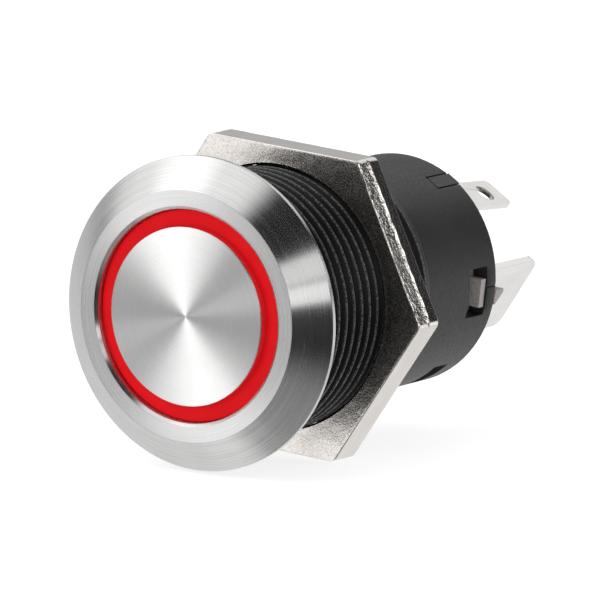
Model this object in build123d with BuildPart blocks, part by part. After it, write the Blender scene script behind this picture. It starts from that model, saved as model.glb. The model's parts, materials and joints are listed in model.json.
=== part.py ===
from build123d import *

import math
import os

# An illuminated metal push button for a 19 mm panel hole: a momentary switch with one double-break
# contact, a lit ring and four blade terminals.
#
# Millimetres. The button is pushed along +Y: the cap faces -Y, the terminals point to +Y, +Z is up.
# The origin is on the push axis, in the plane where the head's underside meets the panel.
# A front or a rear is a Y position. An angle runs from +X towards +Z, about the push axis.

# Head and button
head_r = 11.25
head_height = 2.11
face_r = 8.97
bevel_depth = 1.74
button_bore_r = 7.63
cap_r = 6.39
ring_recess = 0.6
travel = 2.5

# Barrel and nut
thread_r = 9.5
pitch = 1.0
thread_angle = 60.0
first_crest = 0.14
crest_count = 14
barrel_bore_r = 8.3
barrel_rear = 15.1
nut_flats = 22.0
nut_front = 8.76
nut_thickness = 2.74
nut_turn = -5.25

# Base and terminals
shell_r = 8.49
shell_rear = 25.8
shell_wall = 1.2
terminal_turn = -34.25
blade_reach = 8.17
contact_blade_width = 6.3
contact_blade_thickness = 0.6
contact_blade_r = 5.8
contact_blade_offset = 0.98
led_blade_width = 2.8
led_blade_thickness = 0.4
led_blade_r = 6.9
led_blade_offset = -0.25
led_blade_lean = 5.1

# Clearances: between sliding pieces, round a blade in its slot, and between pieces that sit together
slide_gap = 0.08
slot_gap = 0.06
seat_gap = 0.02

# Places along the push axis that several pieces share
face_front = -head_height
spigot_rear = 4.5
lens_disc_rear = 2.03
plunger_disc_rear = 3.05
board_front = 8.9
board_thickness = 1.0
guide_rear = 11.4
spring_window_front = 12.6
arm_front = 19.0
rivet_height = 0.6
over_travel = 1.0
bridge_thickness = 0.6
bridge_rear = arm_front - 2 * rivet_height - (travel - over_travel) - seat_gap
bridge_front = bridge_rear - bridge_thickness
block_front = 21.5
block_rear = 25.3

# Radii and widths that several pieces share
boss_r = 1.8
stem_r = 2.4
hub_r = 4.2
strip_half_width = 0.5
shell_bore_r = shell_r - shell_wall
led_blade_middle = led_blade_r - led_blade_thickness / 2
contact_blade_middle = contact_blade_r - contact_blade_thickness / 2

half_turn = 180.0
quarter_turn = 90.0

os.makedirs("parts", exist_ok=True)


def direction(angle):
    """Unit vector square to the push axis at an angle."""
    return Vector(math.cos(math.radians(angle)), 0, math.sin(math.radians(angle)))


def side_plane(angle):
    """Plane through the push axis: x runs outwards at the angle, y runs to the rear."""
    return Plane(origin=(0, 0, 0), x_dir=direction(angle), z_dir=direction(angle + quarter_turn))


def cross_plane(place):
    """Plane square to the push axis: x is +X, y is +Z, and a negative extrude runs to the rear."""
    return Plane.XZ.offset(-place)


def outward_plane(angle, radius=0.0):
    """Plane facing outwards at the angle: x runs to the rear, y runs round the push axis."""
    return Plane(origin=direction(angle) * radius, x_dir=(0, 1, 0), z_dir=direction(angle))


def cross_place(angle, radius, offset=0.0):
    """Place in a cross plane at a radius, moved round by an offset and turned to the angle."""
    point = direction(angle) * radius + direction(angle + quarter_turn) * offset
    return Location((point.X, point.Z, 0), (0, 0, angle))


def circles_wider_than(piece, radius):
    """Round edges of a piece whose radius is more than the one given."""
    return piece.edges().filter_by(GeomType.CIRCLE).filter_by(lambda edge: edge.radius > radius)


# The steel head: a flat face, a wide bevel, a thin rim, a recess for the panel seal, and a spigot that
# fills the barrel's mouth and guides the lens.
seal_recess_r = 10.4
seal_recess_depth = 0.5
head_edge_round = 0.06
head_bore_chamfer = 0.22

with BuildPart() as bezel:
    with BuildSketch(Plane.XY):
        with BuildLine():
            Polyline(
                (button_bore_r, face_front + head_bore_chamfer),
                (button_bore_r + head_bore_chamfer, face_front),
                (face_r, face_front),
                (head_r, face_front + bevel_depth),
                (head_r, 0),
                (seal_recess_r, 0),
                (seal_recess_r, -seal_recess_depth),
                (barrel_bore_r, -seal_recess_depth),
                (barrel_bore_r, spigot_rear),
                (button_bore_r, spigot_rear),
                close=True,
            )
        make_face()
    revolve(axis=Axis.Y)
    fillet(circles_wider_than(bezel, seal_recess_r + seat_gap), head_edge_round)
    face_edge = circles_wider_than(bezel, face_r - seat_gap).sort_by(Axis.Y)[0]
    fillet(face_edge, head_edge_round)
bezel.part.label = "bezel"
export_step(bezel.part, "parts/bezel.step")

# The flat cap. Its boss goes through the lens into the plunger.
cap_rear = -0.51
boss_rear = 3.0
boss_chamfer = 0.2
cap_edge_round = 0.1

with BuildPart() as button_cap:
    with BuildSketch(cross_plane(face_front)):
        Circle(cap_r)
    extrude(amount=-(cap_rear - face_front))
    fillet(button_cap.edges().sort_by(Axis.Y)[0], cap_edge_round)
    with BuildSketch(cross_plane(cap_rear)):
        Circle(boss_r)
    extrude(amount=-(boss_rear - cap_rear))
    chamfer(button_cap.edges().sort_by(Axis.Y)[-1], boss_chamfer)
button_cap.part.label = "button_cap"
export_step(button_cap.part, "parts/button_cap.step")

# The red lens: its front shoulder is the lit ring, its tube carries light forward from the board,
# a groove holds the O-ring, and the rear flange stops against the spigot.
lens_r = button_bore_r - slide_gap
lens_front = face_front + ring_recess
lens_rear = 5.5
lens_flange_front = spigot_rear + seat_gap
lens_flange_r = 8.2
lens_tube_bore_r = 6.2
groove_r = 6.8
groove_front = 0.9
groove_width = 1.0

with BuildPart() as ring_lens:
    with BuildSketch(Plane.XY):
        with BuildLine():
            Polyline(
                (boss_r + seat_gap, cap_rear + seat_gap),
                (cap_r + seat_gap, cap_rear + seat_gap),
                (cap_r + seat_gap, lens_front),
                (lens_r, lens_front),
                (lens_r, groove_front),
                (groove_r, groove_front),
                (groove_r, groove_front + groove_width),
                (lens_r, groove_front + groove_width),
                (lens_r, lens_flange_front),
                (lens_flange_r, lens_flange_front),
                (lens_flange_r, lens_rear),
                (lens_tube_bore_r, lens_rear),
                (lens_tube_bore_r, lens_disc_rear),
                (boss_r + seat_gap, lens_disc_rear),
                close=True,
            )
        make_face()
    revolve(axis=Axis.Y)
ring_lens.part.label = "ring_lens"
export_step(ring_lens.part, "parts/ring_lens.step")

# The O-ring that wipes the head's bore.
o_ring_wire_r = 0.39

with BuildPart() as button_seal:
    with BuildSketch(Plane.XY):
        with Locations((groove_r + seat_gap + o_ring_wire_r, groove_front + groove_width / 2)):
            Circle(o_ring_wire_r)
    revolve(axis=Axis.Y)
button_seal.part.label = "button_seal"
export_step(button_seal.part, "parts/button_seal.step")

# The plastic slider behind the lens. Its stem passes the guide and the light board, and the window in
# its rear yoke holds the contact spring and the bridge.
plunger_disc_r = 5.6
plunger_disc_front = lens_disc_rear + seat_gap
stem_rear = 12.0
yoke_rear = 17.3
yoke_half_length = 2.0
yoke_half_width = 2.5
window_half_width = 1.55
window_rear = bridge_rear + seat_gap

with BuildPart() as plunger:
    with BuildSketch(cross_plane(plunger_disc_front)):
        Circle(plunger_disc_r)
    extrude(amount=-(plunger_disc_rear - plunger_disc_front))
    with BuildSketch(cross_plane(plunger_disc_rear)):
        Circle(stem_r)
    extrude(amount=-(stem_rear - plunger_disc_rear))
    with BuildSketch(side_plane(terminal_turn)):
        with Locations((0, (stem_rear + yoke_rear) / 2)):
            Rectangle(2 * yoke_half_length, yoke_rear - stem_rear)
    extrude(amount=yoke_half_width, both=True)
    with BuildSketch(side_plane(terminal_turn)):
        with Locations((0, (spring_window_front + window_rear) / 2)):
            Rectangle(2 * yoke_half_length, window_rear - spring_window_front)
    extrude(amount=window_half_width, both=True, mode=Mode.SUBTRACT)
    with BuildSketch(cross_plane(plunger_disc_front)):
        Circle(boss_r + seat_gap)
    extrude(amount=-(boss_rear + seat_gap - plunger_disc_front), mode=Mode.SUBTRACT)
plunger.part.label = "plunger"
export_step(plunger.part, "parts/plunger.step")


def compression_spring(front, rear, coil_r, wire_r, turns):
    """Round-wire spring about the push axis that fills the space from front to rear."""
    start = front + wire_r + seat_gap
    height = rear - wire_r - seat_gap - start
    with BuildPart() as spring:
        with BuildLine() as coil:
            Helix(height / turns, height, coil_r, center=(0, start, 0), direction=(0, 1, 0))
        with BuildSketch(Plane(origin=coil.line @ 0, z_dir=coil.line % 0)):
            Circle(wire_r)
        sweep(path=coil.line, is_frenet=True)
    return spring


# The spring that pushes the button out, between the plunger's disc and the guide's hub.
return_coil_r = 3.2
return_wire_r = 0.24
return_turns = 5
return_spring = compression_spring(
    plunger_disc_rear, board_front, return_coil_r, return_wire_r, return_turns
)
return_spring.part.label = "return_spring"
export_step(return_spring.part, "parts/return_spring.step")

# The spring that presses the bridge and takes up the over-travel, in the yoke's window.
contact_coil_r = 1.1
contact_wire_r = 0.15
contact_turns = 5
contact_spring = compression_spring(
    spring_window_front, bridge_front, contact_coil_r, contact_wire_r, contact_turns
)
contact_spring.part.label = "contact_spring"
export_step(contact_spring.part, "parts/contact_spring.step")

# The black barrel. Its thread is drawn as rings at the pitch, and a relief groove parts the thread
# from the collar at the rear end.
collar_width = 0.5
collar_chamfer = 0.12
flank_foot = pitch * 3 / 8
crest_half = pitch / 16
thread_depth = (flank_foot - crest_half) / math.tan(math.radians(thread_angle / 2))
root_r = thread_r - thread_depth
barrel_front = -seal_recess_depth + seat_gap
ring_points = []
for turn in range(1, crest_count):
    crest = first_crest + turn * pitch
    ring_points.append((root_r, crest - flank_foot))
    ring_points.append((thread_r, crest - crest_half))
    ring_points.append((thread_r, crest + crest_half))
    ring_points.append((root_r, crest + flank_foot))

with BuildPart() as threaded_barrel:
    with BuildSketch(Plane.XY):
        with BuildLine():
            Polyline(
                (barrel_bore_r, barrel_front),
                (thread_r, barrel_front),
                (thread_r, first_crest + crest_half),
                (root_r, first_crest + flank_foot),
                *ring_points,
                (root_r, barrel_rear - collar_width),
                (thread_r, barrel_rear - collar_width),
                (thread_r, barrel_rear),
                (barrel_bore_r, barrel_rear),
                close=True,
            )
        make_face()
    revolve(axis=Axis.Y)
    collar_rings = circles_wider_than(threaded_barrel, thread_r - seat_gap).sort_by(Axis.Y)[-2:]
    chamfer(collar_rings, collar_chamfer)
threaded_barrel.part.label = "threaded_barrel"
export_step(threaded_barrel.part, "parts/threaded_barrel.step")

# The rubber ring between the head and the panel, drawn at its clamped height.
with BuildPart() as panel_seal:
    with BuildSketch(cross_plane(barrel_front)):
        Circle(seal_recess_r - seat_gap)
        Circle(thread_r + seat_gap, mode=Mode.SUBTRACT)
    extrude(amount=barrel_front)
panel_seal.part.label = "panel_seal"
export_step(panel_seal.part, "parts/panel_seal.step")

# The hexagon nut. Its bore is plain and clears the crests, and both of its mouths are countersunk.
nut_bore_r = thread_r + 0.06
nut_corner_round = 0.6
nut_edge_round = 0.28
nut_countersink = 0.18

with BuildPart() as hex_nut:
    with BuildSketch(cross_plane(nut_front)):
        RegularPolygon(nut_flats / 2, 6, major_radius=False, rotation=nut_turn)
        fillet(vertices(), nut_corner_round)
    extrude(amount=-nut_thickness)
    face_groups = hex_nut.edges().group_by(Axis.Y)
    fillet(face_groups[0] + face_groups[-1], nut_edge_round)
    with BuildSketch(cross_plane(nut_front)):
        Circle(nut_bore_r)
    extrude(amount=-nut_thickness, mode=Mode.SUBTRACT)
    chamfer(circles_wider_than(hex_nut, thread_r), nut_countersink)
hex_nut.part.label = "hex_nut"
export_step(hex_nut.part, "parts/hex_nut.step")

# The fixed guide: its hub seats the return spring and centres the light board, its bore guides the
# stem, and two legs reach into the base's neck.
hub_rear = board_front + board_thickness
guide_r = barrel_bore_r - 0.05
leg_inner_r = 6.1
leg_outer_r = 6.85
leg_length = 2.6
leg_half_width = 1.2

with BuildPart() as guide_frame:
    with BuildSketch(cross_plane(board_front)):
        Circle(hub_r)
    extrude(amount=-board_thickness)
    with BuildSketch(cross_plane(hub_rear)):
        Circle(guide_r)
    extrude(amount=-(guide_rear - hub_rear))
    for leg_angle in (terminal_turn, terminal_turn + half_turn):
        with BuildSketch(side_plane(leg_angle)):
            with Locations(((leg_inner_r + leg_outer_r) / 2, guide_rear + leg_length / 2)):
                Rectangle(leg_outer_r - leg_inner_r, leg_length)
        extrude(amount=leg_half_width, both=True)
    with BuildSketch(cross_plane(board_front)):
        Circle(stem_r + slide_gap)
        for strip_angle in (terminal_turn + quarter_turn, terminal_turn - quarter_turn):
            with Locations(cross_place(strip_angle, led_blade_middle)):
                Rectangle(led_blade_thickness + 2 * slot_gap, 2 * (strip_half_width + slot_gap))
    extrude(amount=-(guide_rear - board_front), mode=Mode.SUBTRACT)
guide_frame.part.label = "guide_frame"
export_step(guide_frame.part, "parts/guide_frame.step")

# The annular circuit board, with a slot for each light terminal's strip.
board_r = 8.1

with BuildPart() as led_board:
    with BuildSketch(cross_plane(board_front)):
        Circle(board_r)
        Circle(hub_r + seat_gap, mode=Mode.SUBTRACT)
        for strip_angle in (terminal_turn + quarter_turn, terminal_turn - quarter_turn):
            with Locations(cross_place(strip_angle, led_blade_middle)):
                Rectangle(
                    led_blade_thickness + 2 * slot_gap,
                    2 * (strip_half_width + slot_gap),
                    mode=Mode.SUBTRACT,
                )
    extrude(amount=-(board_thickness - seat_gap))
led_board.part.label = "led_board"
export_step(led_board.part, "parts/led_board.step")

# Four surface-mounted lights behind the lens tube's rear edge.
light_r = 6.88
light_depth = 1.25
light_height = 0.7
light_width = 2.0
light_angles = (45, 135, 225, 315)

with BuildPart() as leds:
    with BuildSketch(cross_plane(board_front - seat_gap)):
        for light_angle in light_angles:
            with Locations(cross_place(terminal_turn + light_angle, light_r)):
                Rectangle(light_depth, light_width)
    extrude(amount=light_height)
leds.part.label = "leds"
export_step(leds.part, "parts/leds.step")

# The lights' series resistor, on the same face of the board.
resistor_r = 5.5
resistor_height = 0.5

with BuildPart() as led_resistor:
    with BuildSketch(cross_plane(board_front - seat_gap)):
        with Locations(cross_place(terminal_turn, resistor_r)):
            Rectangle(light_depth, light_width)
    extrude(amount=resistor_height)
led_resistor.part.label = "led_resistor"
export_step(led_resistor.part, "parts/led_resistor.step")

# The black rear housing: a neck inside the barrel and a round shell. A side window, a lower window,
# a rim notch and a moulding seam repeat on the opposite side.
neck_front = guide_rear + 0.05
neck_bore_r = 7.0
neck_r = barrel_bore_r - seat_gap
shell_front = barrel_rear + seat_gap
shell_edge_round = 0.2
side_window_angle = -5.8
side_window_width = 3.6
side_window_front = shell_rear - 3.7
side_window_rear = shell_rear - 1.3
low_window_angle = -61.5
low_window_width = 3.65
low_window_front = shell_rear - 3.85
low_window_rear = shell_rear - 2.0
notch_angle = 55.7
notch_half_width = 0.7
notch_front = shell_rear - 3.05
seam_angle = -4.0
seam_size = 0.12
through_wall = shell_r + 1

with BuildPart() as base_shell:
    with BuildSketch(Plane.XY):
        with BuildLine():
            Polyline(
                (neck_bore_r, neck_front),
                (neck_r, neck_front),
                (neck_r, shell_front),
                (shell_r, shell_front),
                (shell_r, shell_rear),
                (shell_bore_r, shell_rear),
                (shell_bore_r, shell_front + shell_wall),
                (neck_bore_r, shell_front + shell_wall),
                close=True,
            )
        make_face()
    revolve(axis=Axis.Y)
    rim_edge = circles_wider_than(base_shell, shell_r - seat_gap).sort_by(Axis.Y)[-1]
    fillet(rim_edge, shell_edge_round)
    for turn in (0, half_turn):
        with BuildSketch(outward_plane(side_window_angle + turn)):
            with Locations(((side_window_front + side_window_rear) / 2, 0)):
                Rectangle(side_window_rear - side_window_front, side_window_width)
        extrude(amount=through_wall, mode=Mode.SUBTRACT)
        with BuildSketch(outward_plane(low_window_angle + turn)):
            with Locations(((low_window_front + low_window_rear) / 2, 0)):
                Rectangle(low_window_rear - low_window_front, low_window_width)
        extrude(amount=through_wall, mode=Mode.SUBTRACT)
        with BuildSketch(outward_plane(notch_angle + turn)):
            with Locations((shell_rear, 0)):
                Rectangle(2 * (shell_rear - notch_front), 2 * notch_half_width)
        extrude(amount=through_wall, mode=Mode.SUBTRACT)
        with BuildSketch(outward_plane(seam_angle + turn, shell_r)):
            with Locations((shell_rear, 0)):
                Rectangle(2 * (shell_rear - side_window_rear), seam_size)
        extrude(amount=seam_size, both=True, mode=Mode.SUBTRACT)
base_shell.part.label = "base_shell"
export_step(base_shell.part, "parts/base_shell.step")

# The insulating plug in the base's rear: pads under the contact arms, snap tabs in the side windows,
# keys in the rim notches, a lug with a slanted end behind the rim, and a slot for each blade.
block_r = shell_bore_r - seat_gap
tab_angle = -6.9
tab_width = 2.1
tab_r = shell_r - 0.14
tab_front = side_window_rear - 0.7
tab_rear = side_window_rear - 0.1
key_gap = 0.14
key_r = shell_r - seat_gap
key_root_r = block_r - 0.4
pad_inner_r = 2.3
pad_outer_r = 5.0
pad_half_width = 1.3
pad_front = arm_front + contact_blade_thickness + seat_gap
lug_angle = -10.4
lug_half_width = 0.55
lug_inner_r = 6.75
lug_outer_r = shell_r - 0.05
lug_rear = shell_rear + 1.1
lug_slant = 0.9
slot_depth = 2 * (shell_rear - block_front)

with BuildPart() as terminal_block:
    with BuildSketch(cross_plane(block_front)):
        Circle(block_r)
    extrude(amount=-(block_rear - block_front))
    for turn in (0, half_turn):
        with BuildSketch(outward_plane(tab_angle + turn)):
            with Locations(((tab_front + tab_rear) / 2, 0)):
                Rectangle(tab_rear - tab_front, tab_width)
        extrude(amount=tab_r)
        with BuildSketch(outward_plane(notch_angle + turn, key_root_r)):
            with Locations(((notch_front + key_gap + shell_rear) / 2, 0)):
                Rectangle(shell_rear - notch_front - key_gap, 2 * (notch_half_width - key_gap))
        extrude(amount=key_r - key_root_r)
        with BuildSketch(side_plane(terminal_turn + turn)):
            with Locations(((pad_inner_r + pad_outer_r) / 2, (pad_front + block_front) / 2)):
                Rectangle(pad_outer_r - pad_inner_r, block_front - pad_front)
        extrude(amount=pad_half_width, both=True)
        with BuildSketch(side_plane(lug_angle + turn)):
            with BuildLine():
                Polyline(
                    (lug_inner_r, block_rear),
                    (block_r - seat_gap, block_rear),
                    (block_r - seat_gap, shell_rear + seat_gap),
                    (lug_outer_r, shell_rear + seat_gap),
                    (lug_outer_r, lug_rear),
                    (lug_inner_r, (shell_rear + lug_rear) / 2),
                    close=True,
                )
            make_face()
        extrude(amount=lug_half_width, both=True)
        with BuildSketch(outward_plane(lug_angle + turn)):
            with BuildLine():
                Polyline(
                    (lug_rear - lug_slant, -lug_half_width),
                    (lug_rear, lug_half_width / 2),
                    (lug_rear, -lug_half_width),
                    close=True,
                )
            make_face()
        extrude(amount=through_wall, mode=Mode.SUBTRACT)
    with BuildSketch(cross_plane(block_front)):
        for turn in (0, half_turn):
            contact_angle = terminal_turn + turn
            with Locations(cross_place(contact_angle, contact_blade_middle, contact_blade_offset)):
                Rectangle(contact_blade_thickness + 2 * slot_gap, contact_blade_width + 2 * slot_gap)
            with Locations(cross_place(contact_angle + quarter_turn, led_blade_middle, led_blade_offset)):
                Rectangle(led_blade_thickness + 2 * slot_gap, led_blade_width + 2 * slot_gap)
    extrude(amount=-slot_depth, mode=Mode.SUBTRACT)
terminal_block.part.label = "terminal_block"
export_step(terminal_block.part, "parts/terminal_block.step")

# The blades' shared measures
arm_inner_r = 2.4
contact_tip_round = 0.9
strip_front = board_front - 0.3
strip_rear = block_front + 0.5
led_tip_round = 0.6
led_eye_r = 0.8
led_eye_from_tip = 2.26


def contact_terminal(angle):
    """Wide blade whose inner end is bent inwards into the arm of a fixed contact."""
    tip = shell_rear + blade_reach
    with BuildPart() as terminal:
        with BuildSketch(outward_plane(angle, contact_blade_r - contact_blade_thickness)):
            with Locations(((arm_front + tip) / 2, contact_blade_offset)):
                Rectangle(tip - arm_front, contact_blade_width)
        extrude(amount=contact_blade_thickness)
        tip_edges = terminal.edges().group_by(Axis.Y)[-1]
        fillet(tip_edges.filter_by(lambda edge: edge.length < 2 * contact_blade_thickness), contact_tip_round)
        with BuildSketch(side_plane(angle).offset(contact_blade_offset)):
            with Locations(((arm_inner_r + contact_blade_r) / 2, arm_front + contact_blade_thickness / 2)):
                Rectangle(contact_blade_r - arm_inner_r, contact_blade_thickness)
        extrude(amount=contact_blade_width / 2, both=True)
        arm_edges = terminal.edges().group_by(Axis.Y)[0]
        bend_edge = arm_edges.sort_by(lambda edge: edge.center().dot(direction(angle)))[-1]
        fillet(bend_edge, contact_blade_thickness - seat_gap)
    return terminal


def led_terminal(angle):
    """Narrow blade with an eye, leaning inwards behind the rim, on a strip that runs to the board."""
    lean = math.radians(led_blade_lean)
    along = Vector(0, 1, 0) * math.cos(lean) - direction(angle) * math.sin(lean)
    outwards = direction(angle) * math.cos(lean) + Vector(0, 1, 0) * math.sin(lean)
    tip_r = led_blade_r - blade_reach * math.sin(lean)
    tip = shell_rear + blade_reach * math.cos(lean)
    inner_face = led_blade_r - led_blade_thickness
    root = direction(angle) * led_blade_r + direction(angle + quarter_turn) * led_blade_offset
    root = root + Vector(0, shell_rear, 0)
    with BuildPart() as terminal:
        with BuildSketch(side_plane(angle)):
            with Locations((led_blade_middle, (strip_front + strip_rear) / 2)):
                Rectangle(led_blade_thickness, strip_rear - strip_front)
        extrude(amount=strip_half_width, both=True)
        with BuildSketch(side_plane(angle).offset(led_blade_offset)):
            with BuildLine():
                Polyline(
                    (led_blade_r, strip_rear),
                    (led_blade_r, shell_rear),
                    (tip_r, tip),
                    (
                        tip_r - led_blade_thickness * math.cos(lean),
                        tip - led_blade_thickness * math.sin(lean),
                    ),
                    (inner_face, shell_rear),
                    (inner_face, strip_rear),
                    close=True,
                )
            make_face()
        extrude(amount=led_blade_width / 2, both=True)
        tip_edges = terminal.edges().sort_by(Axis.Y)[-4:]
        fillet(tip_edges.filter_by(lambda edge: edge.length < 2 * led_blade_thickness), led_tip_round)
        eye = root + along * (blade_reach - led_eye_from_tip)
        with BuildSketch(Plane(origin=eye, x_dir=along, z_dir=outwards)):
            Circle(led_eye_r)
        extrude(amount=2 * led_blade_thickness, both=True, mode=Mode.SUBTRACT)
    return terminal


# Two contact blades and two light blades, each pair facing across the push axis.
contact_terminal_a = contact_terminal(terminal_turn)
contact_terminal_a.part.label = "contact_terminal_a"
export_step(contact_terminal_a.part, "parts/contact_terminal_a.step")

contact_terminal_b = contact_terminal(terminal_turn + half_turn)
contact_terminal_b.part.label = "contact_terminal_b"
export_step(contact_terminal_b.part, "parts/contact_terminal_b.step")

led_terminal_a = led_terminal(terminal_turn + quarter_turn)
led_terminal_a.part.label = "led_terminal_a"
export_step(led_terminal_a.part, "parts/led_terminal_a.step")

led_terminal_b = led_terminal(terminal_turn - quarter_turn)
led_terminal_b.part.label = "led_terminal_b"
export_step(led_terminal_b.part, "parts/led_terminal_b.step")

# The fixed contacts, one on each arm.
rivet_r = 1.2
rivet_place = 3.85

with BuildPart() as fixed_contacts:
    with BuildSketch(cross_plane(arm_front)):
        for turn in (0, half_turn):
            with Locations(cross_place(terminal_turn + turn, rivet_place)):
                Circle(rivet_r)
    extrude(amount=rivet_height)
fixed_contacts.part.label = "fixed_contacts"
export_step(fixed_contacts.part, "parts/fixed_contacts.step")

# The moving bar, which closes both gaps at once, and its two contacts.
bridge_half_length = 5.0
bridge_half_width = 1.45
bridge_corner_round = 0.6

with BuildPart() as contact_bridge:
    with BuildSketch(cross_plane(bridge_front)):
        with Locations(cross_place(terminal_turn, 0)):
            RectangleRounded(2 * bridge_half_length, 2 * bridge_half_width, bridge_corner_round)
    extrude(amount=-bridge_thickness)
contact_bridge.part.label = "contact_bridge"
export_step(contact_bridge.part, "parts/contact_bridge.step")

with BuildPart() as bridge_contacts:
    with BuildSketch(cross_plane(bridge_rear)):
        for turn in (0, half_turn):
            with Locations(cross_place(terminal_turn + turn, rivet_place)):
                Circle(rivet_r)
    extrude(amount=-rivet_height)
bridge_contacts.part.label = "bridge_contacts"
export_step(bridge_contacts.part, "parts/bridge_contacts.step")
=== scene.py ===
import json
import math

import bmesh
import bpy
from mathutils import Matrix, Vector, noise


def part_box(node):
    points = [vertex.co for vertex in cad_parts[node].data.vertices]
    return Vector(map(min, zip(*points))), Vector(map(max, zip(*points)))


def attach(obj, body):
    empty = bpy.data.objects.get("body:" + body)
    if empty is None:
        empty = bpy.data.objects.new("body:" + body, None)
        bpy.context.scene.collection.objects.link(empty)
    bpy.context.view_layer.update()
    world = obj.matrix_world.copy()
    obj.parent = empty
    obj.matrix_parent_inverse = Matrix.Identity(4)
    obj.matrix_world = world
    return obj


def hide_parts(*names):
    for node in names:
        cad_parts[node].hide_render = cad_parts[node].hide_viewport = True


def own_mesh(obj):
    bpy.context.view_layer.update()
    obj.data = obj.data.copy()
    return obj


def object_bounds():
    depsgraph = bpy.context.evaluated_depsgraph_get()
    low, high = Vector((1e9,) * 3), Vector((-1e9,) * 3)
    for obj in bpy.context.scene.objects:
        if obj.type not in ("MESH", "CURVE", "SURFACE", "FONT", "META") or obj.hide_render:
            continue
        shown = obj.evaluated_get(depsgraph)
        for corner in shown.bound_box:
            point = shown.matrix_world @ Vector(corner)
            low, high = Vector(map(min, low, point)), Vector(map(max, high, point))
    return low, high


# The looks of an illuminated metal push button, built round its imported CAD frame.
# The frame is in metres; the sizes in this script are in millimetres, and MM turns one into the other.
# The push axis is Y: the cap faces -Y, the terminals point to +Y, +Z is up.

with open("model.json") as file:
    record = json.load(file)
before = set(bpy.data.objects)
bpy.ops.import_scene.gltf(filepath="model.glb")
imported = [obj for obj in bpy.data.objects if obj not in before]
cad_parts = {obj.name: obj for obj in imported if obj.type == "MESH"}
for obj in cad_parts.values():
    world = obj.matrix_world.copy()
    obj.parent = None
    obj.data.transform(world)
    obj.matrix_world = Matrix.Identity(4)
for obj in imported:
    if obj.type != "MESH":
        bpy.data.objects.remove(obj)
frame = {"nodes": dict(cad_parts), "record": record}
cad_low, cad_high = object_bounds()

MM = 0.001
FULL_TURN = 2 * math.pi

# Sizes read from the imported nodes
head_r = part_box("bezel")[1].x / MM
head_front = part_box("bezel")[0].y / MM
spigot_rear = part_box("bezel")[1].y / MM
cap_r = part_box("button_cap")[1].x / MM
thread_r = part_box("threaded_barrel")[1].x / MM
barrel_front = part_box("threaded_barrel")[0].y / MM
barrel_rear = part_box("threaded_barrel")[1].y / MM
nut_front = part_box("hex_nut")[0].y / MM
nut_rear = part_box("hex_nut")[1].y / MM

# The CAD part's sizes that no box gives
face_r = 8.97
bevel_depth = 1.74
bore_r = 7.63
bore_chamfer = 0.22
barrel_bore_r = 8.3
pitch = 1.0
crest_half = pitch / 16
flank_foot = pitch * 3 / 8
root_r = thread_r - (flank_foot - crest_half) / math.tan(math.radians(30))
collar_width = 0.5
nut_bore_r = 9.56
nut_turn = math.radians(-5.25)

# Where the thread ends, the nut's countersink, and the part of its sides torn when it was blanked
thread_rear = 13.5
countersink = 0.12
torn_depth_share = 0.53
torn_rear = nut_front + torn_depth_share * (nut_rear - nut_front)
torn_angle = nut_turn + math.pi / 6


# ---------------------------------------------------------------- mesh helpers


def share_of_one(value):
    """Value held between 0 and 1."""
    return min(1.0, max(0.0, value))


def turned_point(r, y, angle):
    """Point in metres at a radius and a place along the push axis, turned about it."""
    return (r * math.cos(angle) * MM, y * MM, r * math.sin(angle) * MM)


def new_piece(name, mesh_data, sharp_angle=35):
    """Finished mesh as an object in the scene, smooth except at edges sharper than the angle."""
    mesh = bpy.data.meshes.new(name)
    mesh_data.to_mesh(mesh)
    mesh_data.free()
    mesh.polygons.foreach_set("use_smooth", [True] * len(mesh.polygons))
    mesh.set_sharp_from_angle(angle=math.radians(sharp_angle))
    piece = bpy.data.objects.new(name, mesh)
    bpy.context.scene.collection.objects.link(piece)
    return piece


def softened(outline):
    """Closed outline whose corners (r, y, radius) are turned into arcs."""
    arc_steps = 4
    points = []
    for index, (r, y, radius) in enumerate(outline):
        corner = Vector((r, y))
        if radius == 0:
            points.append(corner)
            continue
        before = Vector(outline[index - 1][:2]) - corner
        after = Vector(outline[(index + 1) % len(outline)][:2]) - corner
        before.normalize()
        after.normalize()
        half_angle = before.angle(after) / 2
        reach = radius / math.tan(half_angle)
        centre = corner + (before + after).normalized() * radius / math.sin(half_angle)
        start = corner + before * reach - centre
        end = corner + after * reach - centre
        for step in range(arc_steps + 1):
            arm = start.lerp(end, step / arc_steps).normalized() * radius
            points.append(centre + arm)
    return points


def lathe(name, outline, segments=240, sharp_angle=35):
    """Outline of (r, y, radius) corners turned about the push axis. Points on the axis share a vertex."""
    mesh_data = bmesh.new()
    points = softened(outline)
    rings = []
    for turn in range(segments):
        angle = FULL_TURN * turn / segments
        ring = []
        for r, y in points:
            ring.append(mesh_data.verts.new(turned_point(r, y, angle)))
        rings.append(ring)
    close_grid(mesh_data, rings)
    return new_piece(name, mesh_data, sharp_angle)


def close_grid(mesh_data, rings):
    """Skins equal closed rings into a tube that joins its own start, and merges points that meet."""
    count = len(rings[0])
    for turn, ring in enumerate(rings):
        next_ring = rings[(turn + 1) % len(rings)]
        for index in range(count):
            after = (index + 1) % count
            mesh_data.faces.new((ring[index], ring[after], next_ring[after], next_ring[index]))
    bmesh.ops.remove_doubles(mesh_data, verts=mesh_data.verts, dist=1e-7)
    bmesh.ops.recalc_face_normals(mesh_data, faces=mesh_data.faces)


def finish_piece(piece, body, slot, *replaced):
    """Gives a piece its slot's material, the CAD body it rides on and the CAD nodes it stands for."""
    piece.data.materials.append(materials[slot])
    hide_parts(*replaced)
    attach(piece, body)


# ---------------------------------------------------------------- shader helpers


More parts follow.
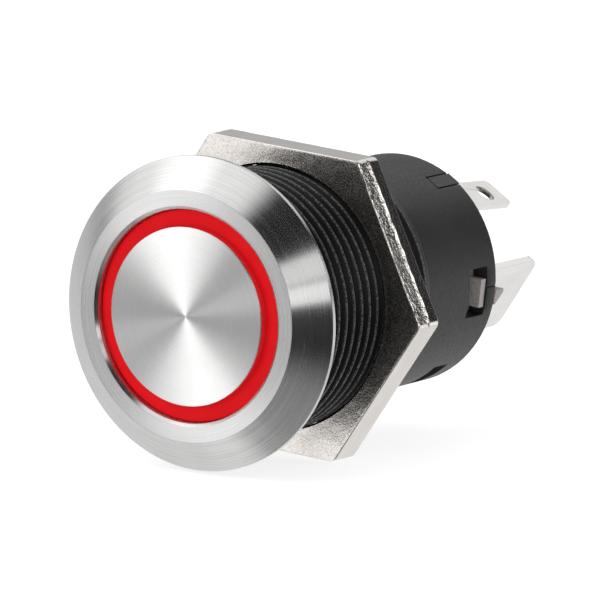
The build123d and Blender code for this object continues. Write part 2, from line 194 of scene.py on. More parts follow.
class Nodes:
    """A node tree, with short methods for the nodes that materials and surroundings share."""

    def __init__(self, tree):
        self.tree = tree

    def put(self, value, socket):
        """Links an output to a socket, or sets the socket to a plain value."""
        if isinstance(value, bpy.types.NodeSocket):
            self.tree.links.new(value, socket)
        else:
            socket.default_value = value

    def node(self, kind, *values, output=0, settings=None, **named_values):
        """Output of a new node. Values go to its first inputs in order, named values to inputs by name."""
        made = self.tree.nodes.new(kind)
        for key, value in (settings or {}).items():
            setattr(made, key, value)
        for value, socket in zip(values, made.inputs):
            self.put(value, socket)
        for key, value in named_values.items():
            self.put(value, made.inputs[key])
        return made.outputs[output]

    def math(self, operation, a, b=0.0):
        return self.node("ShaderNodeMath", a, b, settings={"operation": operation})

    def scaled(self, value, factor):
        return self.math("MULTIPLY", value, factor)

    def dot(self, a, b):
        return self.node("ShaderNodeVectorMath", a, b, output="Value", settings={"operation": "DOT_PRODUCT"})

    def remap(self, value, low, high, to_low=0.0, to_high=1.0, curve="LINEAR"):
        """Value's way from low to high, as a way from to_low to to_high that stops at both ends."""
        settings = {"interpolation_type": curve, "clamp": True}
        return self.node("ShaderNodeMapRange", value, low, high, to_low, to_high, settings=settings)


class Shader(Nodes):
    """A material's nodes. Lengths in it are in millimetres."""

    def __init__(self, name):
        self.material = bpy.data.materials.new(name)
        self.material.use_nodes = True
        super().__init__(self.material.node_tree)
        self.surface = self.tree.nodes["Principled BSDF"]

    def place(self):
        """Position on the piece, which moves with the piece."""
        coordinates = self.node("ShaderNodeTexCoord", output="Object")
        settings = {"operation": "SCALE"}
        return self.node("ShaderNodeVectorMath", settings=settings, Vector=coordinates, Scale=1 / MM)

    def parts(self, vector):
        """X, Y and Z of a vector."""
        made = self.tree.nodes.new("ShaderNodeSeparateXYZ")
        self.put(vector, made.inputs[0])
        return tuple(made.outputs)

    def combine(self, x, y, z):
        return self.node("ShaderNodeCombineXYZ", x, y, z)

    def outwards(self, place):
        """Direction away from the push axis, and the distance from it."""
        x, _, z = self.parts(place)
        flat = self.combine(x, 0.0, z)
        radius = self.node("ShaderNodeVectorMath", flat, output="Value", settings={"operation": "LENGTH"})
        away = self.node("ShaderNodeVectorMath", flat, settings={"operation": "NORMALIZE"})
        return away, radius

    def noise(self, place, scale, detail=2.0, rough=0.5):
        return self.node("ShaderNodeTexNoise", Vector=place, Scale=scale, Detail=detail, Roughness=rough)

    def spread(self, pattern, to_low, to_high):
        """Noise, whose values lie mostly between 0.3 and 0.7, stretched to a range of its own."""
        return self.remap(pattern, 0.3, 0.7, to_low, to_high)

    def blend(self, amount, a, b):
        """Mix of two colours, whose sockets come after those for numbers and vectors."""
        made = self.tree.nodes.new("ShaderNodeMix")
        made.data_type = "RGBA"
        self.put(amount, made.inputs[0])
        self.put(a, made.inputs[6])
        self.put(b, made.inputs[7])
        return made.outputs[2]

    def bump(self, height, depth):
        """Normal from a height of 0 to 1, with the depth that 1 stands for."""
        return self.node("ShaderNodeBump", Height=height, Distance=depth * MM, Strength=1.0)

    def finish(self, **inputs):
        """Sets the surface's inputs, whose names are written with _ for a space."""
        for key, value in inputs.items():
            self.put(value, self.surface.inputs[key.replace("_", " ")])
        return self.material


def grey(level, warmth=0.0):
    """Neutral colour, or a slightly warm one."""
    return (level * (1 + warmth), level, level * (1 - warmth), 1.0)


def toned(colour, factor):
    """Lighter or darker version of a colour."""
    return tuple(min(1.0, part * factor) for part in colour[:3]) + (1.0,)


# ---------------------------------------------------------------- finishes


def turned_steel(name, level, rough, stretch, streaks_per_mm, streak_tone, flat_rear=None, wall_r=None):
    """Steel brushed round the push axis, so highlights spread away from it.

    In front of flat_rear it is satin, and outside wall_r it is polished.
    """
    shader = Shader(name)
    place = shader.place()
    _, y, _ = shader.parts(place)
    away, radius = shader.outwards(place)
    cos_part, _, sin_part = shader.parts(away)
    across = shader.math("ADD", radius, y)
    drift_round = 0.9
    streak_place = shader.combine(
        shader.scaled(across, streaks_per_mm),
        shader.scaled(cos_part, drift_round),
        shader.scaled(sin_part, drift_round),
    )
    streaks = shader.noise(streak_place, 1.0, detail=3.0, rough=0.6)
    broad = shader.noise(place, 0.35)
    streak_share = shader.spread(streaks, -streak_tone, streak_tone)
    broad_share = shader.spread(broad, -0.02, 0.02)
    value = shader.math("ADD", shader.math("ADD", streak_share, broad_share), level)
    colour = shader.combine(value, shader.scaled(value, 0.995), shader.scaled(value, 0.99))
    roughness = shader.spread(streaks, rough - 0.03, rough + 0.03)
    if flat_rear is not None:
        brushed = shader.remap(y, flat_rear, flat_rear + 0.02)
        flat = shader.math("SUBTRACT", 1.0, brushed)
        stretch = shader.remap(brushed, 0.0, 1.0, stretch - 0.04, stretch)
        roughness = shader.math("ADD", roughness, shader.scaled(flat, rough * 0.1))
        colour = shader.blend(shader.scaled(flat, 0.5), colour, grey(0.46))
    if wall_r is not None:
        wall = shader.remap(radius, wall_r - 0.02, wall_r - 0.01)
        roughness = shader.math("SUBTRACT", roughness, shader.scaled(wall, rough * 0.8))
    return shader.finish(
        Base_Color=colour,
        Metallic=1.0,
        Roughness=roughness,
        Anisotropic=stretch,
        Tangent=away,
    )


def red_lens():
    """Satin red moulding with faint flow marks, and a painted glow that lightens it against the shade of its
    recess.
    """
    shader = Shader("red_lens")
    place = shader.place()
    flow = shader.noise(place, 0.6, detail=3.0)
    grain = shader.noise(place, 9.0)
    deep_red = (0.54, 0.003, 0.006, 1)
    pale_red = (0.60, 0.004, 0.008, 1)
    return shader.finish(
        Base_Color=shader.blend(shader.spread(flow, 0.0, 1.0), deep_red, pale_red),
        Roughness=shader.spread(grain, 0.38, 0.48),
        Specular_IOR_Level=0.08,
        # Painted glow: this emission lightens the red ring against the shade of its recess
        Emission_Color=(0.85, 0.004, 0.008, 1),
        Emission_Strength=0.17,
        Subsurface_Weight=0.10,
        Subsurface_Radius=(1.0, 0.1, 0.1),
        Subsurface_Scale=0.6 * MM,
        Normal=shader.bump(grain, 0.002),
    )


def black_anodised():
    """Black satin metal. The grey specks along the thread's crests are partly wear and partly painted
    highlights. The grey lines on the collar's edges are painted highlights. Behind the thread, the black is
    painted lighter where the groove and collar lie in shade.
    """
    shader = Shader("barrel_black")
    place = shader.place()
    _, y, _ = shader.parts(place)
    _, radius = shader.outwards(place)
    crest = shader.remap(radius, thread_r - 0.12, thread_r - 0.04)
    specks = shader.remap(shader.noise(place, 9.0, detail=3.0, rough=0.65), 0.42, 0.62)
    on_thread = shader.remap(y, thread_rear - 0.1, thread_rear, 1.0, 0.0)
    collar_half = collar_width / 2
    from_middle = shader.math("ABSOLUTE", shader.math("SUBTRACT", y, barrel_rear - collar_half))
    from_edge = shader.math("ABSOLUTE", shader.math("SUBTRACT", from_middle, collar_half - 0.04))
    # Painted highlight: grey lines on the collar's edges, where light would catch them
    collar_edge_highlight = shader.remap(from_edge, 0.05, 0.09, 2.5, 0.0)
    wear_and_highlight_zone = shader.math("MAXIMUM", on_thread, collar_edge_highlight)
    # Grey specks on the crests: partly wear, partly painted highlight
    wear_and_highlight = shader.scaled(shader.scaled(crest, specks), wear_and_highlight_zone)
    grain = shader.noise(place, 14.0)
    # Painted light: behind the thread the black is lifted to a lighter black, where the relief groove and
    # collar lie in shade
    painted_light_behind_thread = shader.remap(y, thread_rear - 0.05, thread_rear + 0.05)
    full_black = (0.0035, 0.0035, 0.0038, 1)
    painted_light_black = (0.035, 0.035, 0.037, 1)
    wear_and_highlight_grey = (0.15, 0.15, 0.154, 1)
    return shader.finish(
        Base_Color=shader.blend(wear_and_highlight, shader.blend(painted_light_behind_thread, full_black, painted_light_black), wear_and_highlight_grey),
        Metallic=0.25,
        Specular_IOR_Level=0.35,
        Roughness=shader.spread(grain, 0.30, 0.46),
        Normal=shader.bump(shader.math("ADD", grain, wear_and_highlight), 0.006),
    )


def cast_nickel():
    """Bright nickel over a blanked plate: fine grain all over, coarse where the sides were torn."""
    shader = Shader("nut_nickel")
    place = shader.place()
    _, y, _ = shader.parts(place)
    away, radius = shader.outwards(place)
    grain = shader.noise(place, 5.5, detail=4.0, rough=0.65)
    coarse = shader.noise(place, 3.0, detail=2.5, rough=0.6)
    stain = shader.noise(place, 0.45)
    wander = shader.spread(shader.noise(place, 1.3), -0.14, 0.14)
    torn_edge = shader.math("ADD", wander, torn_rear)
    past_thread = shader.remap(radius, thread_r + 1.2, thread_r + 1.4)
    behind_front = shader.remap(y, nut_front + 0.10, nut_front + 0.22)
    side = shader.scaled(past_thread, behind_front)
    in_front = shader.math("LESS_THAN", y, torn_edge)
    cos_part, _, sin_part = shader.parts(away)
    angle = shader.math("ARCTAN2", sin_part, cos_part)
    thrice = shader.scaled(shader.math("SUBTRACT", angle, torn_angle), 3.0)
    every_second_side = shader.remap(shader.math("COSINE", thrice), -0.10, 0.10)
    torn = shader.scaled(shader.scaled(side, in_front), every_second_side)
    smooth = shader.math("SUBTRACT", side, torn)
    pale_nickel = (0.84, 0.80, 0.765, 1)
    stained_nickel = (0.74, 0.70, 0.655, 1)
    side_nickel = (0.60, 0.58, 0.56, 1)
    colour = shader.blend(shader.remap(stain, 0.35, 0.7), pale_nickel, stained_nickel)
    fine_height = shader.scaled(grain, shader.remap(smooth, 0.0, 1.0, 0.016, 0.003))
    torn_height = shader.scaled(shader.scaled(coarse, torn), 0.09)
    smoothing = shader.scaled(side, 0.06)
    return shader.finish(
        Base_Color=shader.blend(shader.scaled(side, 0.5), colour, side_nickel),
        Metallic=1.0,
        Roughness=shader.math("SUBTRACT", shader.spread(grain, 0.20, 0.30), smoothing),
        Normal=shader.bump(shader.math("ADD", fine_height, torn_height), 1.0),
    )


def moulded_plastic(name, colour, rough=0.5, grain_depth=0.006, specular=0.4, grain_per_mm=9.0):
    """Satin moulding with a fine spark-eroded grain and slow changes of tone."""
    shader = Shader(name)
    place = shader.place()
    grain = shader.noise(place, grain_per_mm, detail=3.0, rough=0.6)
    flow = shader.spread(shader.noise(place, 0.30), 0.0, 1.0)
    return shader.finish(
        Base_Color=shader.blend(flow, toned(colour, 0.86), toned(colour, 1.18)),
        Specular_IOR_Level=specular,
        Roughness=shader.spread(grain, rough - 0.06, rough + 0.08),
        Normal=shader.bump(grain, grain_depth),
    )


def tab_highlight_plastic(name, colour, highlight_colour):
    """Satin moulding with a painted highlight: paler near the tabs and lugs that show in the shell's
    windows, where they would catch light.
    """
    shader = Shader(name)
    place = shader.place()
    away, radius = shader.outwards(place)
    tab_angle = math.radians(-8)
    tab_way = (math.cos(tab_angle), 0.0, math.sin(tab_angle))
    closeness = shader.math("ABSOLUTE", shader.dot(away, tab_way))
    near_tab = shader.remap(closeness, math.cos(math.radians(22)), math.cos(math.radians(15)))
    # Painted highlight: paler on the tabs and lugs in the shell's windows, broken up by the grain
    highlight_zone = shader.scaled(near_tab, shader.remap(radius, 6.9, 7.2))
    grain = shader.noise(place, 6.0, detail=3.0, rough=0.6)
    painted_highlight = shader.scaled(highlight_zone, shader.remap(grain, 0.25, 0.65, 0.55, 1.0))
    return shader.finish(
        Base_Color=shader.blend(painted_highlight, colour, highlight_colour),
        Specular_IOR_Level=0.45,
        Roughness=shader.spread(grain, 0.38, 0.52),
        Normal=shader.bump(grain, 0.008),
    )


def rolled_metal(name, colour, rough):
    """Stamped strip with fine lines left by rolling, which run along the push axis."""
    lines_per_mm = 6.0
    line_stretch = 20
    shader = Shader(name)
    place = shader.place()
    x, y, z = shader.parts(place)
    line_place = shader.combine(
        shader.scaled(x, lines_per_mm),
        shader.scaled(y, lines_per_mm / line_stretch),
        shader.scaled(z, lines_per_mm),
    )
    lines = shader.noise(line_place, 1.0, detail=3.0, rough=0.55)
    cloud = shader.noise(place, 0.5, detail=1.0)
    return shader.finish(
        Base_Color=shader.blend(shader.remap(cloud, 0.35, 0.7), colour, toned(colour, 0.93)),
        Metallic=1.0,
        Roughness=shader.spread(lines, rough - 0.03, rough + 0.04),
        Normal=shader.bump(lines, 0.0005),
    )


def board_green():
    """Circuit board: green mask, with copper tracks that show through as lighter bands."""
    shader = Shader("board_green")
    place = shader.place()
    _, radius = shader.outwards(place)
    tracks = shader.math("SINE", shader.scaled(radius, 9.0))
    weave = shader.noise(place, 12.0)
    mask_green = (0.010, 0.10, 0.035, 1)
    track_green = (0.03, 0.20, 0.07, 1)
    relief = shader.math("ADD", shader.remap(tracks, 0.5, 0.8), weave)
    return shader.finish(
        Base_Color=shader.blend(shader.remap(tracks, 0.55, 0.7), mask_green, track_green),
        Roughness=shader.spread(weave, 0.25, 0.40),
        Normal=shader.bump(relief, 0.01),
    )


materials = {
    "head_steel": turned_steel(
        "head_steel",
        level=0.76,
        rough=0.25,
        stretch=0.98,
        streaks_per_mm=7.0,
        streak_tone=0.08,
        flat_rear=head_front + 0.01,
    ),
    "cap_steel": turned_steel(
        "cap_steel",
        level=0.90,
        rough=0.37,
        stretch=0.97,
        streaks_per_mm=14.0,
        streak_tone=0.05,
        wall_r=cap_r,
    ),
    "red_lens": red_lens(),
    "seal_rubber": moulded_plastic("seal_rubber", grey(0.02), rough=0.75, specular=0.25),
    "barrel_black": black_anodised(),
    "nut_nickel": cast_nickel(),
    "white_plastic": moulded_plastic("white_plastic", grey(0.75, 0.02), rough=0.45),
    "spring_steel": rolled_metal("spring_steel", grey(0.55), 0.22),
    "board_green": board_green(),
    "led_white": moulded_plastic("led_white", (0.82, 0.78, 0.45, 1), rough=0.3),
    "resistor_dark": moulded_plastic("resistor_dark", grey(0.03), rough=0.35),
    "base_plastic": moulded_plastic(
        "base_plastic",
        (0.0135, 0.0135, 0.0145, 1),
        rough=0.46,
        grain_depth=0.022,
        specular=0.45,
        grain_per_mm=5.0,
    ),
    "block_plastic": tab_highlight_plastic("block_plastic", (0.017, 0.0165, 0.017, 1), (0.36, 0.33, 0.315, 1)),
    "tinned_blade": rolled_metal("tinned_blade", (0.86, 0.84, 0.82, 1), 0.30),
    "contact_silver": rolled_metal("contact_silver", (0.82, 0.81, 0.78, 1), 0.25),
    "bridge_brass": rolled_metal("bridge_brass", (0.72, 0.46, 0.20, 1), 0.28),
}


# ---------------------------------------------------------------- pieces


def build_bezel():
    """Steel head: flat face, wide bevel, thin rim, seal recess and the spigot inside the barrel."""
    recess_r = 10.4
    recess_front = -0.5
    outline = [
        (bore_r, head_front + bore_chamfer, 0.03),
        (bore_r + bore_chamfer, head_front, 0.04),
        (face_r, head_front, 0.06),
        (head_r, head_front + bevel_depth, 0.05),
        (head_r, 0, 0.05),
        (recess_r, 0, 0.03),
        (recess_r, recess_front, 0.03),
        (barrel_bore_r, recess_front, 0.02),
        (barrel_bore_r, spigot_rear, 0.05),
        (bore_r, spigot_rear, 0.05),
    ]
    piece = lathe("bezel_head", outline, segments=288, sharp_angle=25)
    finish_piece(piece, "casing", "head_steel", "bezel")


def build_cap():
    """Flat turned cap with a softened edge and a boss that goes through the lens."""
    boss_r = 1.8
    cap_rear = -0.51
    boss_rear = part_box("button_cap")[1].y / MM
    outline = [
        (0, head_front, 0),
        (cap_r, head_front, 0.09),
        (cap_r, cap_rear, 0.03),
        (boss_r, cap_rear, 0.03),
        (boss_r, boss_rear, 0.18),
        (0, boss_rear, 0),
    ]
    piece = lathe("cap_disc", outline, segments=240, sharp_angle=25)
    finish_piece(piece, "button", "cap_steel", "button_cap")


def build_lens():
    """Red moulding: the lit ring at its front, the O-ring groove and the stop flange at its rear."""
    boss_hole_r = 1.82
    ring_inner_r = cap_r + 0.004
    ring_front = head_front + 0.6
    disc_front = -0.49
    disc_rear = 2.03
    lens_r = 7.55
    groove_r = 6.8
    groove_front = 0.9
    groove_rear = 1.9
    tube_bore_r = 6.2
    flange_front = spigot_rear + 0.02
    lens_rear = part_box("ring_lens")[1].y / MM
    flange_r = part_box("ring_lens")[1].x / MM
    outline = [
        (boss_hole_r, disc_front, 0.02),
        (ring_inner_r, disc_front, 0.02),
        (ring_inner_r, ring_front, 0),
        (lens_r, ring_front, 0.06),
        (lens_r, groove_front, 0.03),
        (groove_r, groove_front, 0.05),
        (groove_r, groove_rear, 0.05),
        (lens_r, groove_rear, 0.03),
        (lens_r, flange_front, 0.03),
        (flange_r, flange_front, 0.05),
        (flange_r, lens_rear, 0.05),
        (tube_bore_r, lens_rear, 0.05),
        (tube_bore_r, disc_rear, 0.10),
        (boss_hole_r, disc_rear, 0.02),
    ]
    piece = lathe("lens_ring", outline, segments=240)
    finish_piece(piece, "button", "red_lens", "ring_lens")


def build_panel_seal():
    """Rubber ring in the head's underside, with softened lips."""
    low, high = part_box("panel_seal")
    inner_r = thread_r + 0.02
    outer_r = high.x / MM
    outline = [
        (inner_r, low.y / MM, 0.10),
        (outer_r, low.y / MM, 0.10),
        (outer_r, high.y / MM, 0.16),
        (inner_r, high.y / MM, 0.16),
    ]
    piece = lathe("panel_seal_ring", outline, segments=160)
    finish_piece(piece, "casing", "seal_rubber", "panel_seal")


def thread_profile(phase):
    """Radius at a share of the pitch from a crest: flat crest, straight flanks, rounded root."""
    root_sag = 0.02
    gap = min(phase, 1 - phase) * pitch
    flank_share = share_of_one((gap - crest_half) / (flank_foot - crest_half))
    root_share = share_of_one((gap - flank_foot) / (pitch / 2 - flank_foot))
    return thread_r - (thread_r - root_r) * flank_share - root_sag * math.sin(math.pi / 2 * root_share)


def barrel_sections():
    """Closed outlines of the barrel, one for each angle, with the thread a little further on in each.

    They come with the count of their threaded points. One full turn on, a point of the thread meets
    the point that lies one pitch behind it, and the other points meet themselves.
    """
    columns = 240
    thread_front = 0.2
    run_out = 0.35
    # Places of the points within one pitch, from a crest over its flank and the root to the next crest
    phases = (0.0, 0.0625, 0.14, 0.22, 0.30, 0.375, 0.46, 0.54, 0.625, 0.70, 0.78, 0.86, 0.9375)
    pitches = math.ceil((thread_rear - thread_front) / pitch) + 1
    tail = softened(
        [
            (root_r, thread_rear, 0),
            (root_r, barrel_rear - collar_width, 0.04),
            (thread_r, barrel_rear - collar_width, 0.10),
            (thread_r, barrel_rear, 0.12),
            (barrel_bore_r, barrel_rear, 0.06),
            (barrel_bore_r, barrel_front, 0.02),
            (thread_r, barrel_front, 0),
        ]
    )
    sections = []
    for column in range(columns):
        section = []
        for row in range(len(phases) * pitches + 1):
            phase = phases[row % len(phases)]
            y = thread_front + pitch * (row // len(phases) + phase - 1 + column / columns)
            y = min(thread_rear, max(thread_front, y))
            fade_in = share_of_one((y - thread_front) / run_out)
            threaded = thread_r - (thread_r - thread_profile(phase)) * fade_in
            run_out_r = root_r + (thread_r - root_r) * share_of_one((thread_rear - y) / run_out)
            section.append((min(threaded, run_out_r), y))
        sections.append(section + tail)
    return sections, len(phases) * pitches + 1, len(phases)


def build_barrel():
    """Black barrel with a true right-hand thread, a relief groove behind it and a collar."""
    sections, threaded_points, points_per_pitch = barrel_sections()
    mesh_data = bmesh.new()
    columns = []
    for column, section in enumerate(sections):
        angle = FULL_TURN * column / len(sections)
        columns.append([mesh_data.verts.new(turned_point(r, y, angle)) for r, y in section])
    last = threaded_points - 1
    shifted = [columns[0][min(row + points_per_pitch, last)] for row in range(threaded_points)]
    columns.append(shifted + columns[0][threaded_points:])
    for here, there in zip(columns, columns[1:]):
        for index in range(len(here)):
            after = (index + 1) % len(here)
            corners = list(dict.fromkeys((here[index], here[after], there[after], there[index])))
            if len(corners) > 2:
                mesh_data.faces.new(corners)
    bmesh.ops.remove_doubles(mesh_data, verts=mesh_data.verts, dist=1e-7)
    bmesh.ops.recalc_face_normals(mesh_data, faces=mesh_data.faces)
    piece = new_piece("barrel_thread", mesh_data, 28)
    finish_piece(piece, "casing", "barrel_black", "threaded_barrel")


def hexagon_rim():
    """Angles and radii round a hexagon with rounded corners."""
    flats = 22.0
    corner_round = 0.6
    corner_steps = 8
    flat_steps = 80
    half_side = math.pi / 6
    apothem = flats / 2
    round_centre = (apothem - corner_round) / math.cos(half_side)
    round_end = math.atan2(corner_round / 2, round_centre + corner_round * math.cos(half_side))
    rim = []
    for corner in range(6):
        corner_angle = nut_turn + corner * 2 * half_side
        for step in range(corner_steps):
            offset = round_end * (2 * step / corner_steps - 1)
            across = round_centre * math.sin(offset)
            corner_r = round_centre * math.cos(offset) + math.sqrt(corner_round**2 - across**2)
            rim.append((corner_angle + offset, corner_r))
        for step in range(flat_steps):
            offset = round_end + 2 * (half_side - round_end) * step / flat_steps
            rim.append((corner_angle + offset, apothem / math.cos(half_side - offset)))
    return rim


def nut_section(rim_r):
    """Closed outline of the nut at an angle where its rim has this radius, from the bore's front edge."""
    front_round = 0.10
    rear_round = 0.24
    lip_depth = 0.03
    lip_width = 0.02
    face_steps = 12
    side_steps = 20
    arc_steps = 4
    hole_r = nut_bore_r + countersink
    front_rim = rim_r - front_round
    rear_rim = rim_r - rear_round
    side_front = nut_front + front_round
    side_length = nut_rear - rear_round - side_front
    bends = [math.pi / 2 * step / arc_steps for step in range(arc_steps + 1)]
    section = [(hole_r, nut_front + lip_depth), (hole_r + lip_width, nut_front)]
    for step in range(1, face_steps):
        section.append((hole_r + (front_rim - hole_r) * step / face_steps, nut_front))
    for bend in bends:
        section.append((front_rim + front_round * math.sin(bend), side_front - front_round * math.cos(bend)))
    for step in range(1, side_steps):
        section.append((rim_r, side_front + side_length * step / side_steps))
    for bend in bends:
        arc_y = nut_rear - rear_round * (1 - math.sin(bend))
        section.append((rear_rim + rear_round * math.cos(bend), arc_y))
    for step in range(1, face_steps):
        section.append((rear_rim + (hole_r - rear_rim) * step / face_steps, nut_rear))
    section.append((hole_r, nut_rear))
    section.append((nut_bore_r, nut_rear - countersink))
    section.append((nut_bore_r, (nut_front + nut_rear) / 2))
    section.append((nut_bore_r, nut_front + countersink))
    return section


def build_nut():
    """Blanked hexagon nut: rounded edges, countersunk bore, torn band on the sides, uneven faces."""
    mesh_data = bmesh.new()
    rings = []
    for angle, rim_r in hexagon_rim():
        section = nut_section(rim_r)
        rings.append([mesh_data.verts.new(turned_point(r, y, angle)) for r, y in section])
    close_grid(mesh_data, rings)
    roughen_nut(mesh_data)
    piece = new_piece("nut_blank", mesh_data, 42)
    finish_piece(piece, "nut", "nut_nickel", "hex_nut")


def roughen_nut(mesh_data):
    """Sinks the nut's skin into a slightly uneven surface, deeper in the torn band round its sides."""
    wave_depth = 0.012
    waves_per_mm = 0.9
    torn_depth = 0.07
    torn_edge_width = 0.12
    rag_height = 0.14
    rags_per_mm = 1.3
    smooth_r = nut_bore_r + countersink
    margin = 0.4
    mesh_data.normal_update()
    moves = []
    for vert in mesh_data.verts:
        x, y, z = (part / MM for part in vert.co)
        r = math.hypot(x, z)
        if r < smooth_r - 0.01:
            moves.append(0.0)
            continue
        wave = noise.fractal(Vector((x, y, z)) * waves_per_mm, 1.0, 2.2, 2)
        ragged = rag_height * noise.noise(Vector((x, 3.0, z)) * rags_per_mm)
        sideways = share_of_one((math.hypot(vert.normal.x, vert.normal.z) - 0.7) * 5)
        in_front = share_of_one((torn_rear + ragged - y) / torn_edge_width)
        torn_side = share_of_one(math.cos(3 * (math.atan2(z, x) - torn_angle)) * 5 + 0.5)
        sink = wave_depth * (0.6 - wave) + torn_depth * sideways * in_front * torn_side
        from_bore = min(1.0, (r - smooth_r) / margin + 0.15)
        moves.append(-max(0.0, sink) * from_bore)
    for vert, move in zip(mesh_data.verts, moves):
        vert.co += vert.normal * move * MM


def coil_spring(name, front, rear, coil_r, wire_r, turns):
    """Compression spring with closed end coils, as a tube of round wire."""
    steps_per_turn = 40
    wire_sides = 12
    steps = turns * steps_per_turn
    end_gap = wire_r + 0.01
    height = rear - front - 2 * end_gap
    end_share = 0.75 / turns
    end_rise = 2 * wire_r / height

    def rise(share):
        """Height share along the wire: the first and last three quarters of a turn lie nearly flat."""
        if share < end_share:
            return end_rise * share / end_share
        if share > 1 - end_share:
            return 1 - end_rise * (1 - share) / end_share
        return end_rise + (1 - 2 * end_rise) * (share - end_share) / (1 - 2 * end_share)

    mesh_data = bmesh.new()
    sections = []
    for step in range(steps + 1):
        share = step / steps
        angle = FULL_TURN * turns * share
        centre_y = front + end_gap + height * rise(share)
        section = []
        for side in range(wire_sides):
            bend = FULL_TURN * side / wire_sides
            point = turned_point(coil_r + wire_r * math.cos(bend), centre_y + wire_r * math.sin(bend), angle)
            section.append(mesh_data.verts.new(point))
        sections.append(section)
    for here, there in zip(sections, sections[1:]):
        for side in range(wire_sides):
            after = (side + 1) % wire_sides
            mesh_data.faces.new((here[side], here[after], there[after], there[side]))
    mesh_data.faces.new(sections[0])
    mesh_data.faces.new(sections[-1])
    bmesh.ops.recalc_face_normals(mesh_data, faces=mesh_data.faces)
    return new_piece(name, mesh_data, 50)


def build_springs():
    """The return spring stays on the guide; the contact spring travels in the plunger."""

    low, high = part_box("return_spring")
    spring = coil_spring("return_coil", low.y / MM, high.y / MM, coil_r=3.2, wire_r=0.24, turns=6)
    finish_piece(spring, "casing", "spring_steel", "return_spring")
    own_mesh(spring)

    low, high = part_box("contact_spring")
    spring = coil_spring("contact_coil", low.y / MM, high.y / MM, coil_r=1.1, wire_r=0.15, turns=6)
    finish_piece(spring, "button", "spring_steel", "contact_spring")
    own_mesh(spring)


def dress_cad_nodes():
    """CAD nodes whose shape is right keep it, with softened edges and the finish of their slot."""
    slots = {row["node"]: row["material_slot"] for row in frame["record"]["subparts"]}
    edge_widths = {
        "base_shell": 0.08,
        "terminal_block": 0.04,
        "guide_frame": 0.08,
        "plunger": 0.08,
        "contact_terminal_a": 0.06,
        "contact_terminal_b": 0.06,
        "led_terminal_a": 0.04,
        "led_terminal_b": 0.04,
        "contact_bridge": 0.08,
        "fixed_contacts": 0.12,
        "bridge_contacts": 0.12,
        "led_board": 0.04,
        "leds": 0.08,
        "led_resistor": 0.08,
    }
    for name, node in frame["nodes"].items():
        # A node that a rebuilt piece stands for is hidden by now
        if node.hide_render:
            continue
        material = materials[slots[name]]
        if not node.material_slots:
            node.data.materials.append(material)
        for material_slot in node.material_slots:
            material_slot.material = material
        if name in edge_widths:
            soften_edges(node, edge_widths[name])


def soften_edges(node, width):
    """Rounds a node's sharp edges with modifiers, which leave its own mesh alone."""
    weld = node.modifiers.new("weld", "WELD")
    weld.merge_threshold = 1e-7
    bevel = node.modifiers.new("soft_edges", "BEVEL")
    bevel.width = width * MM
    bevel.segments = 2
    bevel.limit_method = "ANGLE"
    bevel.angle_limit = math.radians(40)
    normals = node.modifiers.new("normals", "WEIGHTED_NORMAL")
    normals.keep_sharp = True


build_bezel()
build_cap()
build_lens()
build_panel_seal()
build_barrel()
build_nut()
build_springs()
dress_cad_nodes()


# ---------------------------------------------------------------- studio


class Sky(Nodes):
    """Surroundings as the metal sees them: soft-edged lit areas, by direction, on a dim background."""

    def __init__(self, tree, background):
        super().__init__(tree)
        self.direction = self.node("ShaderNodeTexCoord", output="Generated")
        self.background = background
        self.lights = []

    def along(self, towards):
        """Cosine of the angle between a view direction and a given one."""
        return self.dot(self.direction, Vector(towards).normalized())

    def soft_step(self, value, low, high, strength=1.0):
        return self.remap(value, low, high, 0.0, strength, curve="SMOOTHSTEP")

    def patch(self, towards, inner, outer, strength):
        """Round soft light, full inside one angle and gone outside the other."""
        low = math.cos(math.radians(outer))
        high = math.cos(math.radians(inner))
        self.lights.append(self.soft_step(self.along(towards), low, high, strength))

    def strip(self, towards, along, inner, outer, reach, strength):
        """Long light centred on one direction and running along another, to an angle either way."""
        end_softness = 7
        centre = Vector(towards).normalized()
        across = centre.cross(Vector(along)).normalized()
        off_midline = self.math("ABSOLUTE", self.along(across))
        closeness = self.math("SUBTRACT", 1.0, off_midline)
        low = 1 - math.sin(math.radians(outer))
        high = 1 - math.sin(math.radians(inner))
        light = self.soft_step(closeness, low, high, strength)
        far = math.cos(math.radians(reach + end_softness))
        near = math.cos(math.radians(reach - end_softness))
        ends = self.soft_step(self.along(towards), far, near)
        self.lights.append(self.scaled(light, ends))

    def strength(self):
        """The brightest light in each direction, over the dim background."""
        total = self.lights[0]
        for light in self.lights[1:]:
            total = self.math("MAXIMUM", total, light)
        return self.math("ADD", total, self.background)


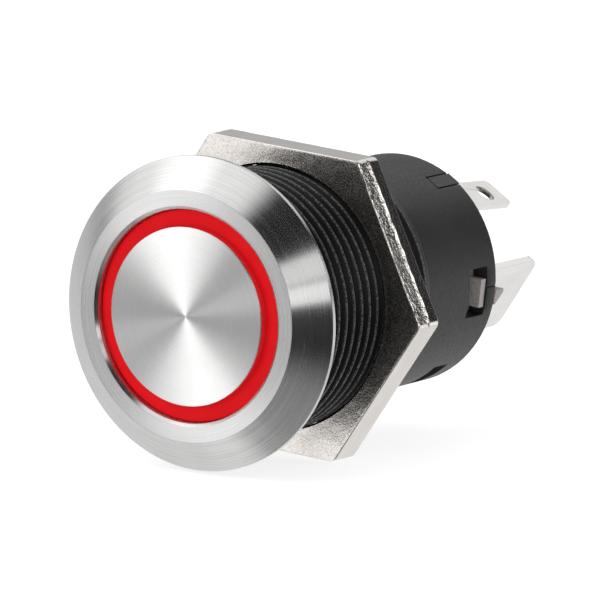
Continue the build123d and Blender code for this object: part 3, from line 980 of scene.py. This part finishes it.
def build_surroundings():
    """Studio that the metal mirrors. The camera sees plain white in its place."""
    world = bpy.data.worlds.new("studio")
    world.use_nodes = True
    bpy.context.scene.world = world
    sky = Sky(world.node_tree, background=0.02)

    # Soft boxes: one up to the left with a hotter middle, one at the left, and two weaker ones below
    sky.patch((-0.57, -0.33, 0.75), 34, 48, 1.00)
    sky.patch((-0.60, -0.33, 0.73), 9, 26, 1.55)
    sky.patch((-0.90, 0.35, -0.25), 16, 36, 0.90)
    sky.patch((-0.60, -0.05, -0.80), 22, 46, 0.76)
    sky.patch((0.16, -0.48, -0.86), 14, 46, 0.27)

    # Lights behind the object, for the nut's sides and the blades
    sky.patch((0.04, 0.83, -0.56), 26, 44, 0.92)
    sky.patch((-0.50, 0.83, 0.25), 16, 32, 0.52)
    sky.patch((0.53, 0.83, -0.16), 8, 18, 1.30)
    sky.patch((-0.05, 0.80, 0.60), 14, 24, 1.00)
    sky.patch((0.80, 0.45, 0.38), 8, 16, 2.80)

    # A weak light straight ahead, which keeps the head from going dark in a front view
    sky.patch((0.02, -1.0, 0.0), 6, 16, 0.28)

    # Two strips for the bright patch on the bevel's right, and one for the cap's bow-tie
    sky.strip((0.561, -0.756, 0.331), (0.908, 0, 0.419), 6.0, 6.8, 21, 1.05)
    sky.strip((0.637, -0.760, 0.125), (0.976, 0, 0.216), 4.6, 5.4, 21, 1.35)
    sky.strip((-0.54, -0.83, -0.15), (-0.28, 0, 1), 7.5, 14, 46, 1.38)

    white = 1.0
    camera_ray = sky.node("ShaderNodeLightPath", output="Is Camera Ray")
    seen = sky.node("ShaderNodeMix", camera_ray, settings={"data_type": "FLOAT"})
    mix = seen.node
    sky.put(sky.strength(), mix.inputs[2])
    sky.put(white, mix.inputs[3])
    background = world.node_tree.nodes["Background"]
    background.inputs["Color"].default_value = (white, white, white, 1)
    sky.put(seen, background.inputs["Strength"])


def build_floor():
    """Plain pale floor just under the object. Metal doesn't mirror it: it mirrors the surroundings."""
    half = 6000
    height = cad_low.z / MM - 0.02
    mesh_data = bmesh.new()
    corners = []
    for x, y in ((-half, -half), (half, -half), (half, half), (-half, half)):
        corners.append(mesh_data.verts.new(Vector((x, y, height)) * MM))
    mesh_data.faces.new(corners)
    floor = new_piece("floor", mesh_data)
    shader = Shader("floor_paint")
    mottle = shader.noise(shader.place(), 0.02)
    paint = shader.finish(
        Base_Color=shader.blend(mottle, grey(0.36), grey(0.38)),
        Roughness=0.9,
        Specular_IOR_Level=0.0,
        Emission_Color=(1, 1, 1, 1),
        Emission_Strength=0.82,
    )
    floor.data.materials.append(paint)
    floor.visible_glossy = False


def build_fill_light():
    """Wide soft light from above and in front, for the parts that aren't mirrors."""
    light = bpy.data.lights.new("fill", "SUN")
    light.energy = 1.7
    light.angle = math.radians(170)
    fill = bpy.data.objects.new("fill", light)
    fill.rotation_mode = "QUATERNION"
    fill.rotation_quaternion = Vector((0.25, -0.45, 0.55)).to_track_quat("Z", "Y")
    fill.visible_glossy = False
    bpy.context.scene.collection.objects.link(fill)


def build_camera():
    """Long lens from the right of the push axis and a little above it."""
    turn = math.radians(33.28)
    rise = math.radians(8.84)
    distance = 45 * head_r
    shift_right = 0.1672 * head_r
    shift_down = 0.0228 * head_r
    aim = Vector((0, head_r + head_front, 0))
    level = Vector((-math.sin(turn), math.cos(turn), 0))
    forward = level * math.cos(rise) - Vector((0, 0, math.sin(rise)))
    right = Vector((math.cos(turn), math.sin(turn), 0))
    up = right.cross(forward)
    place = aim - forward * distance + right * shift_right - up * shift_down
    camera = bpy.data.objects.new("camera", bpy.data.cameras.new("camera"))
    camera.data.sensor_width = 36
    camera.data.lens = 423.9
    camera.location = place * MM
    camera.rotation_mode = "QUATERNION"
    camera.rotation_quaternion = forward.to_track_quat("-Z", "Y")
    bpy.context.scene.collection.objects.link(camera)
    bpy.context.scene.camera = camera


build_surroundings()
build_floor()
build_fill_light()
build_camera()
bpy.context.scene.view_settings.view_transform = "Standard"
